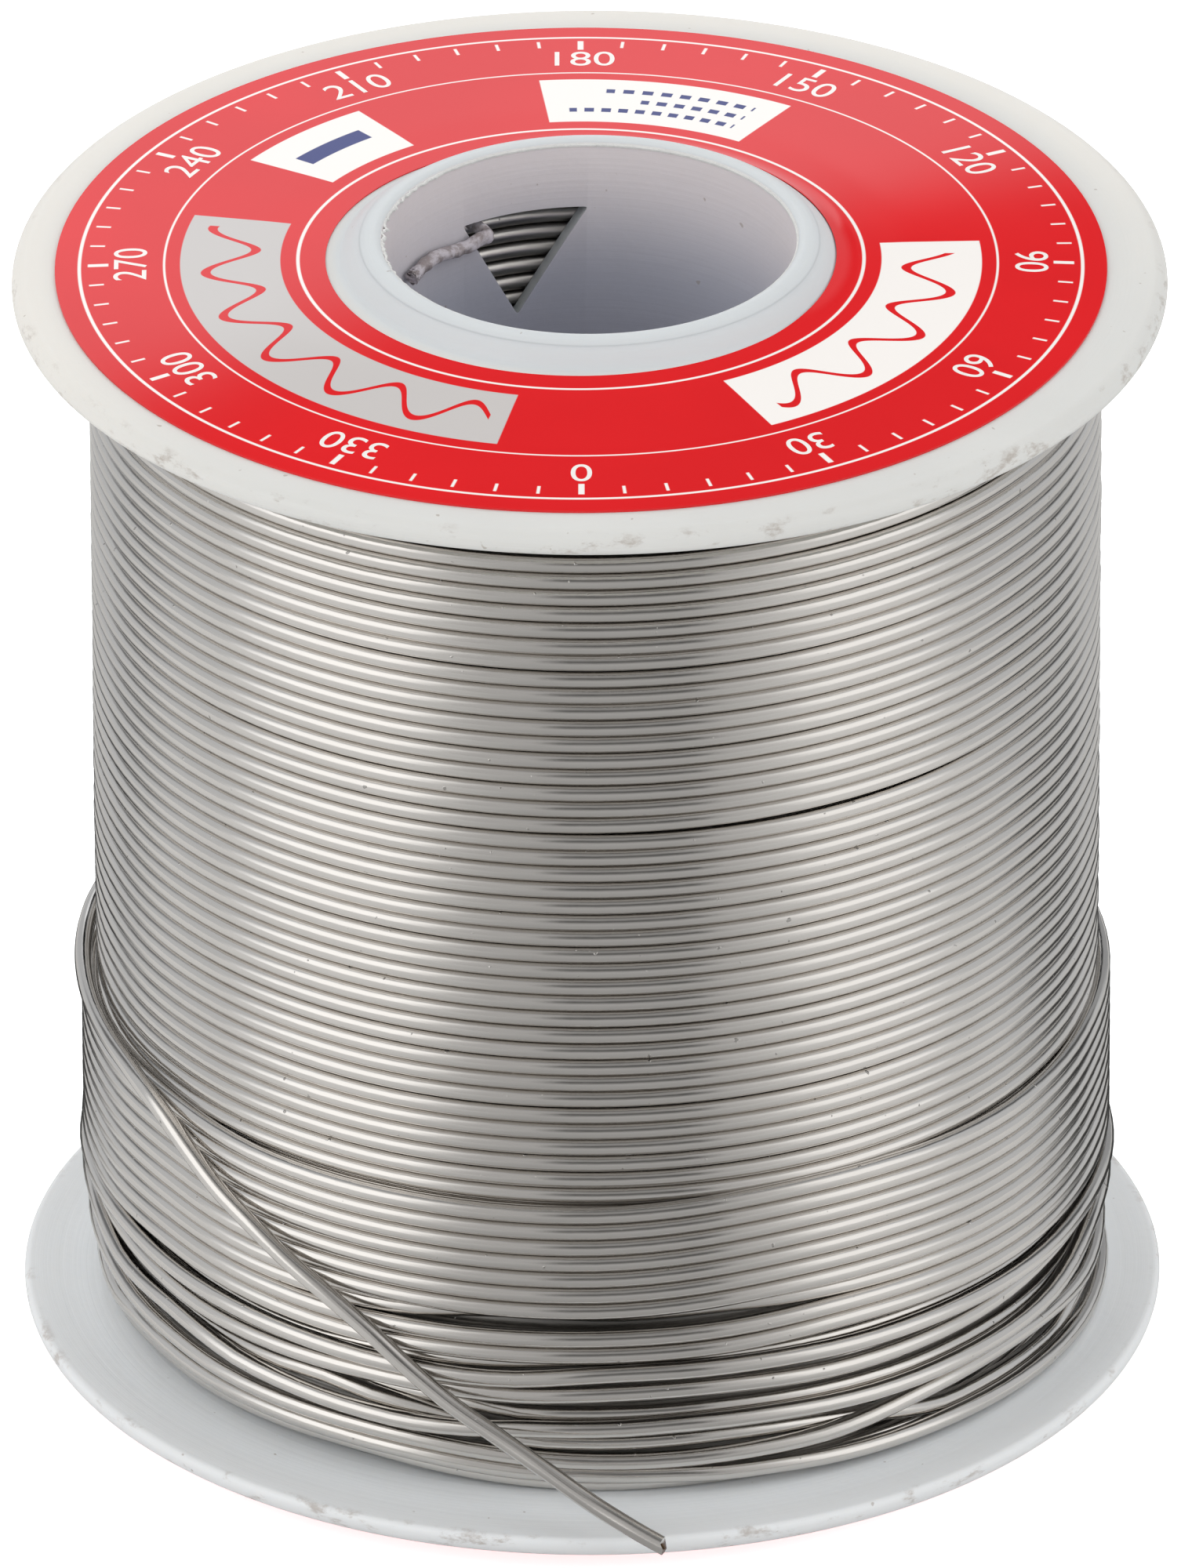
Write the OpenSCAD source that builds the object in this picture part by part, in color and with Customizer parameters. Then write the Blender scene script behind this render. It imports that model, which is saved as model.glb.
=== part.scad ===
// Solder wire on a flanged spool, standing on its lower collar.
// Millimetres, +Z up along the axis of the spool. The origin is on that axis,
// on the surface that the spool stands on.

/* [Flanges] */
// Diameter of both flanges
flange_d = 50.8; // [48:0.1:70]
// Thickness of a flange at its rim
rim_t = 1.05; // [1.05:0.05:2]
// Radius of the rim's corner on the outer face
rim_outer_r = 0.7; // [0.2:0.05:0.7]
// Radius of the rim's corner on the side of the wire
rim_inner_r = 0.3; // [0.1:0.05:0.3]
// How far the outer face rises from the rim to the collar
hub_rise = 0.5; // [0.2:0.05:1]
// Clear width between the flanges, which the wire fills
winding_w = 48.9; // [44:0.1:60]
// How far a collar stands out from the flange around it
collar_h = 1; // [0.6:0.05:2]
// Width of a collar around the end of the barrel
collar_w = 1.15; // [0.8:0.05:1.3]

/* [Barrel] */
// Diameter of the bore for the spindle
bore_d = 18.2; // [15:0.1:18.6]
// Wall of the barrel between the flanges
barrel_wall = 1.3; // [1.1:0.05:1.6]
// Step at each end of the barrel that seats a flange
seat_step = 0.3; // [0.1:0.05:0.35]
// Width of the flat ring that each end stands on
foot_w = 0.45; // [0.3:0.05:0.45]
// Chamfer at each end of the bore
bore_edge = 0.2; // [0.1:0.05:0.25]
// Width of the groove halfway along the bore, where the two cores of the mould met
core_groove_w = 0.8; // [0.6:0.05:1.5]
// Depth of that groove
core_groove_depth = 0.2; // [0.1:0.05:0.4]

/* [Start window] */
// Width of the three-cornered window along its top edge
window_w = 5.65; // [4:0.05:6]
// Height of the window from its top edge to its lowest corner
window_h = 4.75; // [3:0.05:6]
// Depth of the top edge below the upper flange
window_drop = 0.7; // [0.3:0.05:2]
// Direction of the window, counterclockwise from +X
window_angle = 109.8; // [90:0.1:180]
// Sideways place of the lowest corner, from the middle of the top edge
window_skew = 0.3; // [-1:0.05:1]

/* [Labels] */
// Diameter of both labels
label_d = 46.2; // [30:0.1:46.4]
// Thickness of a label
label_t = 0.1; // [0.05:0.01:0.2]
// Bare ring between the collar and a label that lies true
label_gap = 0.45; // [0.45:0.05:2]
// How far each label lies off the axis, towards -X
label_shift = 0.4; // [-0.4:0.05:0.4]

/* [Wire] */
// Diameter of the wire
wire_d = 0.8; // [0.5:0.05:0.9]
// Diameter of the strand of flux inside the wire
flux_d = 0.26; // [0.1:0.01:0.35]
// Diameter over the outermost complete layer
full_layer_d = 44.6; // [40:0.1:45.5]
// How much further out the last layer lies than the complete one
layer_step = 0.55; // [0.5:0.05:0.9]
// Height of the last turn above the lower flange
last_layer_h = 16.35; // [14:0.05:18]
// Clear gap from one turn to the next
turn_gap = 0.8; // [0.5:0.05:1.2]
// Clear gap from the turns to the ones that they lie on
layer_gap = 0.5; // [0.4:0.05:0.8]
// Clear gap from the first and last turns to the flanges
side_gap = 0.2; // [0.1:0.05:0.6]
// Clear gap from the inner end of the wire to the top edge of the window
tail_gap = 0.15; // [0.1:0.05:0.4]

/* [Hidden] */

plastic = [0.87, 0.86, 0.84];
label_red = [0.82, 0.16, 0.17];
solder = [0.72, 0.71, 0.69];
flux = [0.45, 0.34, 0.18];

// Roundness of the true circles
fine = 96;
// Straight steps along the rounded corner of a rim
arc_steps = 6;
// Overlap of a cutting solid past the face that it opens
past = 1;

flange_r = flange_d / 2;
bore_r = bore_d / 2;
barrel_r = bore_r + barrel_wall;
seat_r = barrel_r - seat_step;
collar_r = seat_r + collar_w;
foot_r = bore_r + bore_edge + foot_w;

// Heights of the faces, from the floor up
rim_z = collar_h + hub_rise;
lower_inside_z = rim_z + rim_t;
upper_inside_z = lower_inside_z + winding_w;
total_h = upper_inside_z + rim_t + rim_z;
window_top_z = upper_inside_z - window_drop;

// The outer face leaves the rim's corner and climbs to the collar
face_outer_r = flange_r - rim_outer_r;
face_slope = hub_rise / (face_outer_r - collar_r);
// The collar's shoulder falls this far from the barrel's end to its own outside
shoulder_drop = collar_h * (seat_r - foot_r) / (collar_r - foot_r);

// Middle radii of the two visible layers, and the surfaces that they lie on
full_mid_r = full_layer_d / 2 - wire_d / 2;
last_mid_r = full_mid_r + layer_step;
under_full_r = full_mid_r - wire_d / 2 - layer_gap;
under_last_r = under_full_r + layer_step;
turn_pitch = wire_d + turn_gap;

// A loop of wire has this many rings, of this many sides
loop_rings = 24;
turn_sides = 6;
cord_sides = 8;
ring_step = 360 / loop_rings;

// Angle, from the front (-Y) towards +X, at which the last turn lets go
release_angle = -110;
last_turn_z = lower_inside_z + last_layer_h;
layer_edge_z = last_turn_z + wire_d / 2;
last_loops = floor((last_layer_h - wire_d / 2 - side_gap) / turn_pitch * loop_rings) / loop_rings;
full_top_z = upper_inside_z - side_gap - wire_d / 2;
full_low_limit = last_turn_z + wire_d + side_gap;
full_loops = floor((full_top_z - full_low_limit) / turn_pitch * loop_rings) / loop_rings;

// Loose outer end: [angle from the front, how far out from the last layer's middle,
// height above the lower flange as a share of the last turn's]
free_route = [
    [-104, 0.1, 1], [-98, 0.2, 1], [-92, 0.3, 1], [-86, 0.4, 0.994],
    [-80, 0.5, 0.988], [-74, 0.6, 0.982], [-68, 0.7, 0.976], [-62, 0.8, 0.963],
    [-58, 0.9, 0.945], [-54, 0.9, 0.908], [-50, 0.9, 0.853], [-45, 0.9, 0.78],
    [-40, 0.9, 0.719], [-35, 0.9, 0.651], [-30, 0.9, 0.584], [-25, 0.9, 0.505],
    [-20, 1, 0.413], [-15, 1.3, 0.333], [-10, 1.7, 0.266], [-5, 2.4, 0.199],
    [0, 3.3, 0.125], [4, 4.3, 0.076], [7, 5.1, 0.04]
];

// Inner end in the bore: [angle past the place where it enters, gap between the wire
// and the bore's wall, drop below the height at which it enters]
start_route = [
    [3.5, 0.05, 0.1], [7, 0.05, 0.2], [12, 0.05, 0.2], [17, 0.05, 0.1],
    [23, 0.05, 0], [29, 0.05, 0.1], [34, 0.05, 0.2]
];

// Point at an angle from the front, a radius and a height
function front_point(angle, r, z) = [r * sin(angle), -r * cos(angle), z];

// Point at an angle from +X, a radius and a height
function bore_point(angle, r, z) = [r * cos(angle), r * sin(angle), z];

function unit(v) = v / norm(v);

// Points along an arc of a section, from one angle to another
function arc_points(centre_r, centre_z, r, from, to) = [
    for (i = [0 : arc_steps]) let (angle = from + (to - from) * i / arc_steps)
        [centre_r + r * cos(angle), centre_z + r * sin(angle)]
];

// Middle line of a coil that climbs from z_low through so many loops and ends at end_angle
function coil_line(r, z_low, loops, end_angle) = [
    for (k = [0 : round(loops * loop_rings)])
        front_point(end_angle - 360 * loops + k * ring_step, r, z_low + turn_pitch * k / loop_rings)
];

// Straight run into the surface below, square to it, ahead of a coil's first point
function dive_before(line, floor_r) = let (
    start = line[0],
    along = unit(line[1] - line[0]),
    corner = start - along * 2 * wire_d,
    flat = norm([corner[0], corner[1]]),
    inward = [-corner[0] / flat, -corner[1] / flat, 0]
) [corner + inward * (flat - floor_r), corner];

// The same after a coil's last point
function dive_after(line, floor_r) = let (
    last = len(line) - 1,
    along = unit(line[last] - line[last - 1]),
    corner = line[last] + along * 2 * wire_d,
    flat = norm([corner[0], corner[1]]),
    inward = [-corner[0] / flat, -corner[1] / flat, 0]
) [corner, corner + inward * (flat - floor_r)];

// Direction of a line of points at point i
function direction(line, i) =
    i == 0 ? unit(line[1] - line[0]) :
    i == len(line) - 1 ? unit(line[i] - line[i - 1]) :
    unit(unit(line[i + 1] - line[i]) + unit(line[i] - line[i - 1]));

// Ring of points around point i of a line
function ring_at(line, i, r, sides) = let (
    along = direction(line, i),
    upright = unit([0, 0, 1] - along * along[2]),
    across = cross(along, upright)
) [for (j = [0 : sides - 1]) line[i] + r * (cos(360 * j / sides) * across + sin(360 * j / sides) * upright)];

function rings(line, r, sides) = [for (i = [0 : len(line) - 1]) each ring_at(line, i, r, sides)];

// Triangles of a tube's wall, seen from outside, for points that start at base
function wall_faces(count, sides, base) = [
    for (i = [0 : count - 2], j = [0 : sides - 1]) let (
        a = base + i * sides + j,
        b = base + i * sides + (j + 1) % sides
    ) each [[a, b, b + sides], [a, b + sides, a + sides]]
];

function flipped(faces) = [for (f = faces) [f[0], f[2], f[1]]];

// Solid wire along a line
module wire(line, d, sides) {
    last = (len(line) - 1) * sides;
    start_cap = [for (j = [1 : sides - 2]) [0, j + 1, j]];
    end_cap = [for (j = [1 : sides - 2]) [last, last + j, last + j + 1]];
    polyhedron(
        points = rings(line, d / 2, sides),
        faces = flipped(concat(wall_faces(len(line), sides, 0), start_cap, end_cap)),
        convexity = 10
    );
}

// Hollow wire along a line, with square ends
module hollow_wire(line, d, hole, sides) {
    count = len(line);
    inner = count * sides;
    last = (count - 1) * sides;
    start_ring = [
        for (j = [0 : sides - 1]) let (k = (j + 1) % sides)
            each [[j, inner + j, inner + k], [j, inner + k, k]]
    ];
    end_ring = [
        for (j = [0 : sides - 1]) let (k = (j + 1) % sides)
            each [[last + j, last + k, inner + last + k], [last + j, inner + last + k, inner + last + j]]
    ];
    polyhedron(
        points = concat(rings(line, d / 2, sides), rings(line, hole / 2, sides)),
        faces = flipped(concat(
            wall_faces(count, sides, 0), flipped(wall_faces(count, sides, inner)), start_ring, end_ring
        )),
        convexity = 10
    );
}

// Least clear gap between a coil's own turns, measured from point to point
function least_gap(line) = min([
    for (i = [0 : len(line) - 1], j = [i + loop_rings / 2 : i + loop_rings * 3 / 2])
        if (j < len(line)) norm(line[i] - line[j])
]) - wire_d;

last_coil = coil_line(last_mid_r, last_turn_z - turn_pitch * last_loops, last_loops, release_angle);
full_coil = coil_line(full_mid_r, full_top_z - turn_pitch * full_loops, full_loops, 90);
// The last turn runs straight for one diameter to the point where the loose end takes over
let_go = last_coil[len(last_coil) - 1];
let_go_way = unit(let_go - last_coil[len(last_coil) - 2]);
handover = let_go + let_go_way * wire_d;

free_line = concat(
    [handover, handover + let_go_way * wire_d],
    [for (p = free_route) front_point(p[0], last_mid_r + p[1], lower_inside_z + last_layer_h * p[2])]
);

// The inner end comes square out of the winding, through the window and along the bore's wall
start_angle = window_angle + asin((window_w / 2 - wire_d) / barrel_r);
start_z = window_top_z - tail_gap - wire_d / 2;
start_mid_r = bore_r - wire_d / 2;
start_seat_r = sqrt(pow(barrel_r, 2) - pow(wire_d / 2, 2));
start_line = concat(
    [for (r = [start_seat_r, start_seat_r - wire_d, start_mid_r]) bore_point(start_angle, r, start_z)],
    [for (p = start_route) bore_point(start_angle + p[0], start_mid_r - p[1], start_z - p[2])]
);

// Section of a flange whose outer face is down, from the axis outwards
module flange_section() {
    polygon(concat(
        [[seat_r, rim_t]],
        arc_points(flange_r - rim_inner_r, rim_t - rim_inner_r, rim_inner_r, 90, 0),
        arc_points(face_outer_r, rim_outer_r, rim_outer_r, 0, -90),
        [[collar_r, -hub_rise], [seat_r, -rim_z + shoulder_drop]]
    ));
}

// A flange with its collar, standing on the floor
module flange() {
    translate([0, 0, rim_z]) rotate_extrude($fn = fine) flange_section();
}

// Height of the lower flange's outer face at a radius
function face_z(r) = rim_z - (face_outer_r - r) * face_slope;

// A label stuck to the lower flange's outer face, a little off the axis
module label() {
    outer_r = label_d / 2;
    hole_r = collar_r + label_gap;
    reach_in = hole_r - abs(label_shift) - label_gap / 10;
    reach_out = outer_r + abs(label_shift) + label_gap / 10;
    intersection() {
        rotate_extrude($fn = fine) polygon([
            [reach_in, face_z(reach_in)],
            [reach_out, face_z(reach_out)],
            [reach_out, face_z(reach_out) - label_t],
            [reach_in, face_z(reach_in) - label_t]
        ]);
        translate([-label_shift, 0, -past]) difference() {
            cylinder(r = outer_r, h = rim_z + 2 * past, $fn = fine);
            translate([0, 0, -past]) cylinder(r = hole_r, h = rim_z + 4 * past, $fn = fine);
        }
    }
}

// Turns a piece of the lower end over onto the upper end
module at_top() {
    translate([0, 0, total_h]) mirror([0, 0, 1]) children();
}

module barrel_section() {
    middle_z = total_h / 2;
    polygon([
        [bore_r, bore_edge],
        [bore_r + bore_edge, 0],
        [foot_r, 0],
        [seat_r, shoulder_drop],
        [seat_r, lower_inside_z],
        [barrel_r, lower_inside_z],
        [barrel_r, upper_inside_z],
        [seat_r, upper_inside_z],
        [seat_r, total_h - shoulder_drop],
        [foot_r, total_h],
        [bore_r + bore_edge, total_h],
        [bore_r, total_h - bore_edge],
        [bore_r, middle_z + core_groove_w / 2],
        [bore_r + core_groove_depth, middle_z],
        [bore_r, middle_z - core_groove_w / 2]
    ]);
}

module window_cut() {
    rotate([0, 0, window_angle - 90]) translate([0, barrel_r + past, window_top_z]) rotate([90, 0, 0])
        linear_extrude(height = barrel_r + past - bore_r / 2) polygon([
            [-window_w / 2, 0],
            [-window_skew, -window_h],
            [window_w / 2, 0]
        ]);
}

module barrel() {
    color(plastic) difference() {
        rotate_extrude($fn = fine) barrel_section();
        window_cut();
    }
}

module upper_flange() {
    color(plastic) at_top() flange();
}

module lower_flange() {
    color(plastic) flange();
}

module upper_label() {
    color(label_red) at_top() label();
}

module lower_label() {
    color(label_red) label();
}

module buried_turns() {
    color(solder) rotate_extrude($fn = fine) polygon([
        [barrel_r, lower_inside_z],
        [under_last_r, lower_inside_z],
        [under_last_r, layer_edge_z],
        [under_full_r, layer_edge_z],
        [under_full_r, upper_inside_z],
        [barrel_r, upper_inside_z]
    ]);
}

module full_layer() {
    echo(full_layer_loops = full_loops, full_layer_least_gap = least_gap(full_coil));
    color(solder) wire(concat(
        dive_before(full_coil, under_full_r),
        full_coil,
        dive_after(full_coil, under_full_r)
    ), wire_d, turn_sides);
}

module last_layer() {
    echo(last_layer_loops = last_loops, last_layer_least_gap = least_gap(last_coil));
    color(solder) wire(concat(
        dive_before(last_coil, under_last_r),
        last_coil,
        [handover]
    ), wire_d, turn_sides);
}

module free_end() {
    color(solder) hollow_wire(free_line, wire_d, flux_d, cord_sides);
}

module flux_core() {
    color(flux) wire(free_line, flux_d, cord_sides);
}

module start_tail() {
    color(solder) wire(start_line, wire_d, cord_sides);
}

barrel();
upper_flange();
lower_flange();
upper_label();
lower_label();
buried_turns();
full_layer();
last_layer();
free_end();
flux_core();
start_tail();
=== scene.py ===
"""Looks of a spool of solder wire: moulded spool, printed labels and wound wire."""

import math
import random

import bpy
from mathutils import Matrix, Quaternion, Vector, noise


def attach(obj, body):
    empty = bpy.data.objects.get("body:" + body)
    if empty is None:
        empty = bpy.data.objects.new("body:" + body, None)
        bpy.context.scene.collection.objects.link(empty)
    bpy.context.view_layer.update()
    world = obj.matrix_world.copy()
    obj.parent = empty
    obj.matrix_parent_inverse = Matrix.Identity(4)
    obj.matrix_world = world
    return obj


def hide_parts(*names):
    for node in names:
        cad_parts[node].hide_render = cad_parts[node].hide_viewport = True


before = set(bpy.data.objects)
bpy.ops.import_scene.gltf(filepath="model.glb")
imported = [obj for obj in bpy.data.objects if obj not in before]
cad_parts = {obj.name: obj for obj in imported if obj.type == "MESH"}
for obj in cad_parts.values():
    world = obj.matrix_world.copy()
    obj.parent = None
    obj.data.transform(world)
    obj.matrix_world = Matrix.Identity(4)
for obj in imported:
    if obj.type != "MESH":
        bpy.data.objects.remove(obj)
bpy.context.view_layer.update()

bl_info = {
    "name": "Solder wire spool",
    "version": (1, 0, 0),
    "blender": (4, 5, 0),
    "location": "View3D > Sidebar > Spool",
    "description": "Builds a spool of solder wire around its solids",
    "category": "Object",
}

MM = 0.001
PITCH = 0.8


# ---------------------------------------------------------------- sizes and colours


def shade(red, green, blue):
    """Linear colour of a screen colour given as 0 to 255."""
    def linear(part):
        part /= 255
        return part / 12.92 if part <= 0.04045 else ((part + 0.055) / 1.055) ** 2.4
    return (linear(red), linear(green), linear(blue))


def times(paint, factor):
    """A colour made lighter or darker, but no lighter than white."""
    return [min(1.0, part * factor) for part in paint]


def length(name, description, millimetres, least=0.0, most=100.0):
    return bpy.props.FloatProperty(
        name=name, description=description, default=millimetres * MM,
        min=least * MM, max=most * MM, subtype="DISTANCE", unit="LENGTH", precision=5)


def colour(name, description, red, green, blue):
    return bpy.props.FloatVectorProperty(
        name=name, description=description, default=shade(red, green, blue),
        min=0.0, max=1.0, size=3, subtype="COLOR")


class SpoolSizes(bpy.types.PropertyGroup):
    flange_radius: length("Flange radius", "Radius of both flanges", 25.4)
    rim_thickness: length("Rim thickness", "Thickness of a flange at its rim", 1.05)
    rim_low: length("Rim height", "Height of the lower rim's outer face", 1.5)
    collar_low: length("Collar root", "Height of the outer face where it meets the collar", 1.0)
    collar_radius: length("Collar radius", "Outside radius of the collar at its root", 11.25)
    seat_radius: length("Seat radius", "Radius at which a flange meets the barrel", 10.1)
    barrel_radius: length("Barrel radius", "Outside radius of the barrel", 10.4)
    bore_radius: length("Bore radius", "Radius of the bore for the spindle", 9.1)
    foot_radius: length("Foot radius", "Outside radius of the flat ring at each end", 9.75)
    height: length("Height", "Height of the whole spool", 54.0)
    label_radius: length("Label radius", "Outside radius of a label", 23.1)
    label_hole: length("Label hole", "Radius of the hole in a label", 11.22)
    label_offset: length("Label offset", "How far a label lies off the axis to the left", 0.38)
    label_forward: length("Label forward", "How far a label lies off the axis to the front", 0.27)
    label_thickness: length("Label thickness", "Thickness of a label", 0.1)
    wire: length("Wire", "Diameter of the wire", 0.8)
    flux: length("Flux core", "Diameter of the flux inside the wire", 0.26)
    full_radius: length("Full layer radius", "Middle radius of the outermost full layer", 21.9)
    last_radius: length("Last layer radius", "Middle radius of the last layer", 22.5)


class SpoolColours(bpy.types.PropertyGroup):
    moulding: colour("Moulding", "Pale translucent plastic", 209, 209, 206)
    grime: colour("Grime", "Scuffs along the rims", 140, 124, 110)
    red: colour("Red", "Main colour of the labels", 220, 38, 42)
    paper: colour("Off-white", "Panels of the labels", 240, 236, 232)
    grey: colour("Grey", "Toned part of the labels", 196, 192, 190)
    blue: colour("Blue", "Small accents of the labels", 52, 60, 120)
    solder: colour("Solder", "Tin-lead wire", 220, 216, 211)
    flux: colour("Flux", "Rosin in the cut end", 92, 66, 36)


# ---------------------------------------------------------------- surface maths


def sum_node(operation, swapped=False):
    """Method of a value that adds a Math node."""
    def method(value, other):
        return value.finish.maths(operation, *((other, value) if swapped else (value, other)))
    return method


class Value:
    """A number that varies over a surface, so that sums on it become Math nodes."""

    def __init__(self, finish, socket):
        self.finish, self.socket = finish, socket

    __add__, __radd__ = sum_node("ADD"), sum_node("ADD", True)
    __sub__, __rsub__ = sum_node("SUBTRACT"), sum_node("SUBTRACT", True)
    __mul__, __truediv__ = sum_node("MULTIPLY"), sum_node("DIVIDE")


class Nodes:
    """Node tree of a material or of the sky."""

    def __init__(self, owner, output):
        owner.use_nodes = True
        self.tree = owner.node_tree
        self.tree.nodes.clear()
        self.output = self.node(output)

    def node(self, kind, settings=None, sockets=None):
        made = self.tree.nodes.new("ShaderNode" + kind)
        for key, value in (settings or {}).items():
            setattr(made, key, value)
        for key, value in (sockets or {}).items():
            if isinstance(value, Value):
                self.tree.links.new(value.socket, made.inputs[key])
            elif isinstance(value, bpy.types.NodeSocket):
                self.tree.links.new(value, made.inputs[key])
            elif made.inputs[key].type == "RGBA" and len(value) == 3:
                made.inputs[key].default_value = (*value, 1)
            else:
                made.inputs[key].default_value = value
        return made

    def maths(self, operation, *values):
        made = self.node("Math", {"operation": operation}, dict(enumerate(values)))
        return Value(self, made.outputs[0])

    def most(self, first, *others):
        """Largest of some values."""
        for other in others:
            first = self.maths("MAXIMUM", first, other)
        return first

    def place(self, centre=(0, 0, 0)):
        """Object coordinates in metres, from a centre."""
        here = self.node("TexCoord").outputs["Object"]
        return self.node("VectorMath", {"operation": "SUBTRACT"}, {0: here, 1: centre}).outputs[0]

    def parts(self, vector):
        made = self.node("SeparateXYZ", None, {0: vector})
        return [Value(self, socket) for socket in made.outputs]

    def vector(self, x, y, z):
        return self.node("CombineXYZ", None, {0: x, 1: y, 2: z}).outputs[0]

    def scaled(self, vector, by):
        return self.node("VectorMath", {"operation": "MULTIPLY"}, {0: vector, 1: by}).outputs[0]

    def ray(self, kind):
        """One for rays of a kind, nought for others."""
        return Value(self, self.node("LightPath").outputs["Is " + kind + " Ray"])

    def noise(self, vector, scale, detail=3.0, rough=0.5):
        made = self.node("TexNoise", None, {"Vector": vector, "Scale": scale, "Detail": detail, "Roughness": rough})
        return Value(self, made.outputs[0])

    def step(self, value, low, high, top=1.0, bottom=0.0):
        """Soft step from bottom to top as the value goes from low to high."""
        made = self.node("MapRange", {"interpolation_type": "SMOOTHSTEP"},
                         {0: value, 1: low, 2: high, 3: bottom, 4: top})
        return Value(self, made.outputs[0])

    def band(self, value, low, high, edge):
        """One between low and high, nought outside, with soft edges."""
        return self.step(value, low - edge, low + edge) * self.step(value, high - edge, high + edge, 0.0, 1.0)

    def mix(self, factor, first, second):
        """Colour between two colours."""
        made = self.node("Mix", {"data_type": "RGBA"}, {0: factor, 6: first, 7: second})
        return made.outputs[2]

    def over(self, base, *layers):
        """Colour under others, each given with how much of it shows."""
        for share, paint in layers:
            base = self.mix(share, base, paint)
        return base

    def close(self, shader):
        """Joins a shader to the output."""
        self.tree.links.new(shader, self.output.inputs[0])


class Finish(Nodes):
    """Material of one kind of surface."""

    def __init__(self, name):
        self.material = bpy.data.materials.new(name)
        super().__init__(self.material, "OutputMaterial")

    def bump(self, height, strength, distance, under=None):
        sockets = {"Strength": strength, "Distance": distance, "Height": height}
        if under is not None:
            sockets["Normal"] = under
        return self.node("Bump", None, sockets).outputs[0]

    def surface(self, **sockets):
        names = {key.replace("_", " "): value for key, value in sockets.items()}
        self.close(self.node("BsdfPrincipled", None, names).outputs[0])


# ---------------------------------------------------------------- finishes


def polar(finish, centre=(0, 0, 0)):
    """Distance from the axis in millimetres and the angle in degrees from 0 to 360."""
    x, y, z = finish.parts(finish.place(centre))
    around = finish.maths("ARCTAN2", y, x) * (180 / math.pi)
    around = finish.maths("MODULO", around + 360.0, 360.0)
    away = finish.maths("SQRT", x * x + y * y) * 1000.0
    return away, around, z * 1000.0


def moulding_finish(colours, name="moulding", shaded_bore=False):
    """Translucent moulded plastic with turning lines, specks and scuffed rims.

    A piece with a shaded bore has its bore tinted pinkish grey and painted darker deeper in, as painted shade."""
    finish = Finish(name)
    where = finish.place()
    away, _, height = polar(finish)
    cloud = finish.noise(where, 160.0, 4.0)
    turning = finish.noise(finish.vector(away, height, 0.0), 3.2, 5.0, 0.7)
    rim = finish.step(away, 24.75, 25.35)
    patches = finish.step(finish.noise(finish.scaled(where, (1.0, 1.0, 2.5)), 420.0, 6.0, 0.7), 0.53, 0.68)
    scuffs = rim * patches
    specks = finish.step(finish.noise(where, 1900.0, 1.0), 0.765, 0.80)
    base = finish.mix(cloud, times(colours.moulding, 0.96), times(colours.moulding, 1.03))
    x, y, _ = finish.parts(where)
    # Painted light: the back-left of each rim is painted lighter, as lit; lower parts are painted lighter and bluer,
    # lightest inside the rim, against the wire's shade; the collar and what lies inside it are painted bluish grey,
    # as painted shade.
    painted_lit_side = finish.step(y * 900.0 - x * 400.0, -18.0, 6.0) * finish.step(away, 22.5, 24.5)
    lower = finish.step(height, 30.0, 20.0)
    base = finish.over(base, (painted_lit_side, shade(223, 220, 214)), (lower, shade(221, 223, 224)),
                       (lower * finish.step(away, 24.4, 22.6), shade(230, 233, 235)),
                       (finish.step(away, 11.5, 10.9) * 0.8, shade(203, 208, 211)))
    # Painted shade: the bore is tinted pinkish grey and painted darker deeper in, away from its ends.
    if shaded_bore:
        inside = finish.step(away, 9.22, 9.14)
        painted_bore_shade = inside * finish.step(height, 53.6, 46.5) * finish.step(height, 0.4, 6.0)
        base = finish.over(base, (inside, shade(216, 209, 210)), (painted_bore_shade, shade(176, 178, 189)))
    base = finish.over(base, (scuffs * 0.55, colours.grime), (specks * 0.5, colours.grime))
    lumps = finish.bump(cloud, 0.25, 0.0004)
    lines = finish.bump(turning, 0.35, 0.00006, lumps)
    skin = finish.bump(finish.noise(where, 1500.0, 3.0), 0.25, 0.00004, lines)
    finish.surface(Base_Color=base, Roughness=finish.step(cloud, 0.3, 0.7, 0.5, 0.36) + scuffs * 0.2,
                   IOR=1.5, Subsurface_Weight=0.3, Subsurface_Radius=(1.0, 0.9, 0.8),
                   Subsurface_Scale=0.0005, Normal=skin)
    return finish.material


def trim_finish(colours):
    """Rough whitish trim left along the bore's edge."""
    finish = Finish("trim")
    rough = finish.noise(finish.place(), 3000.0, 5.0, 0.7)
    base = finish.mix(rough, times(colours.moulding, 1.3), times(colours.moulding, 0.95))
    finish.surface(Base_Color=base, Roughness=0.75, Subsurface_Weight=0.2,
                   Subsurface_Radius=(1.0, 1.0, 1.0), Subsurface_Scale=0.0004,
                   Normal=finish.bump(rough, 0.8, 0.0001))
    return finish.material


def coated(finish, base, grain, **more):
    """Print under a satin coat."""
    finish.surface(Base_Color=base, Roughness=0.5 + grain * 0.08, IOR=1.48, Specular_IOR_Level=0.0,
                   Coat_Weight=0.8, Coat_Roughness=0.07, **more)


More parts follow.
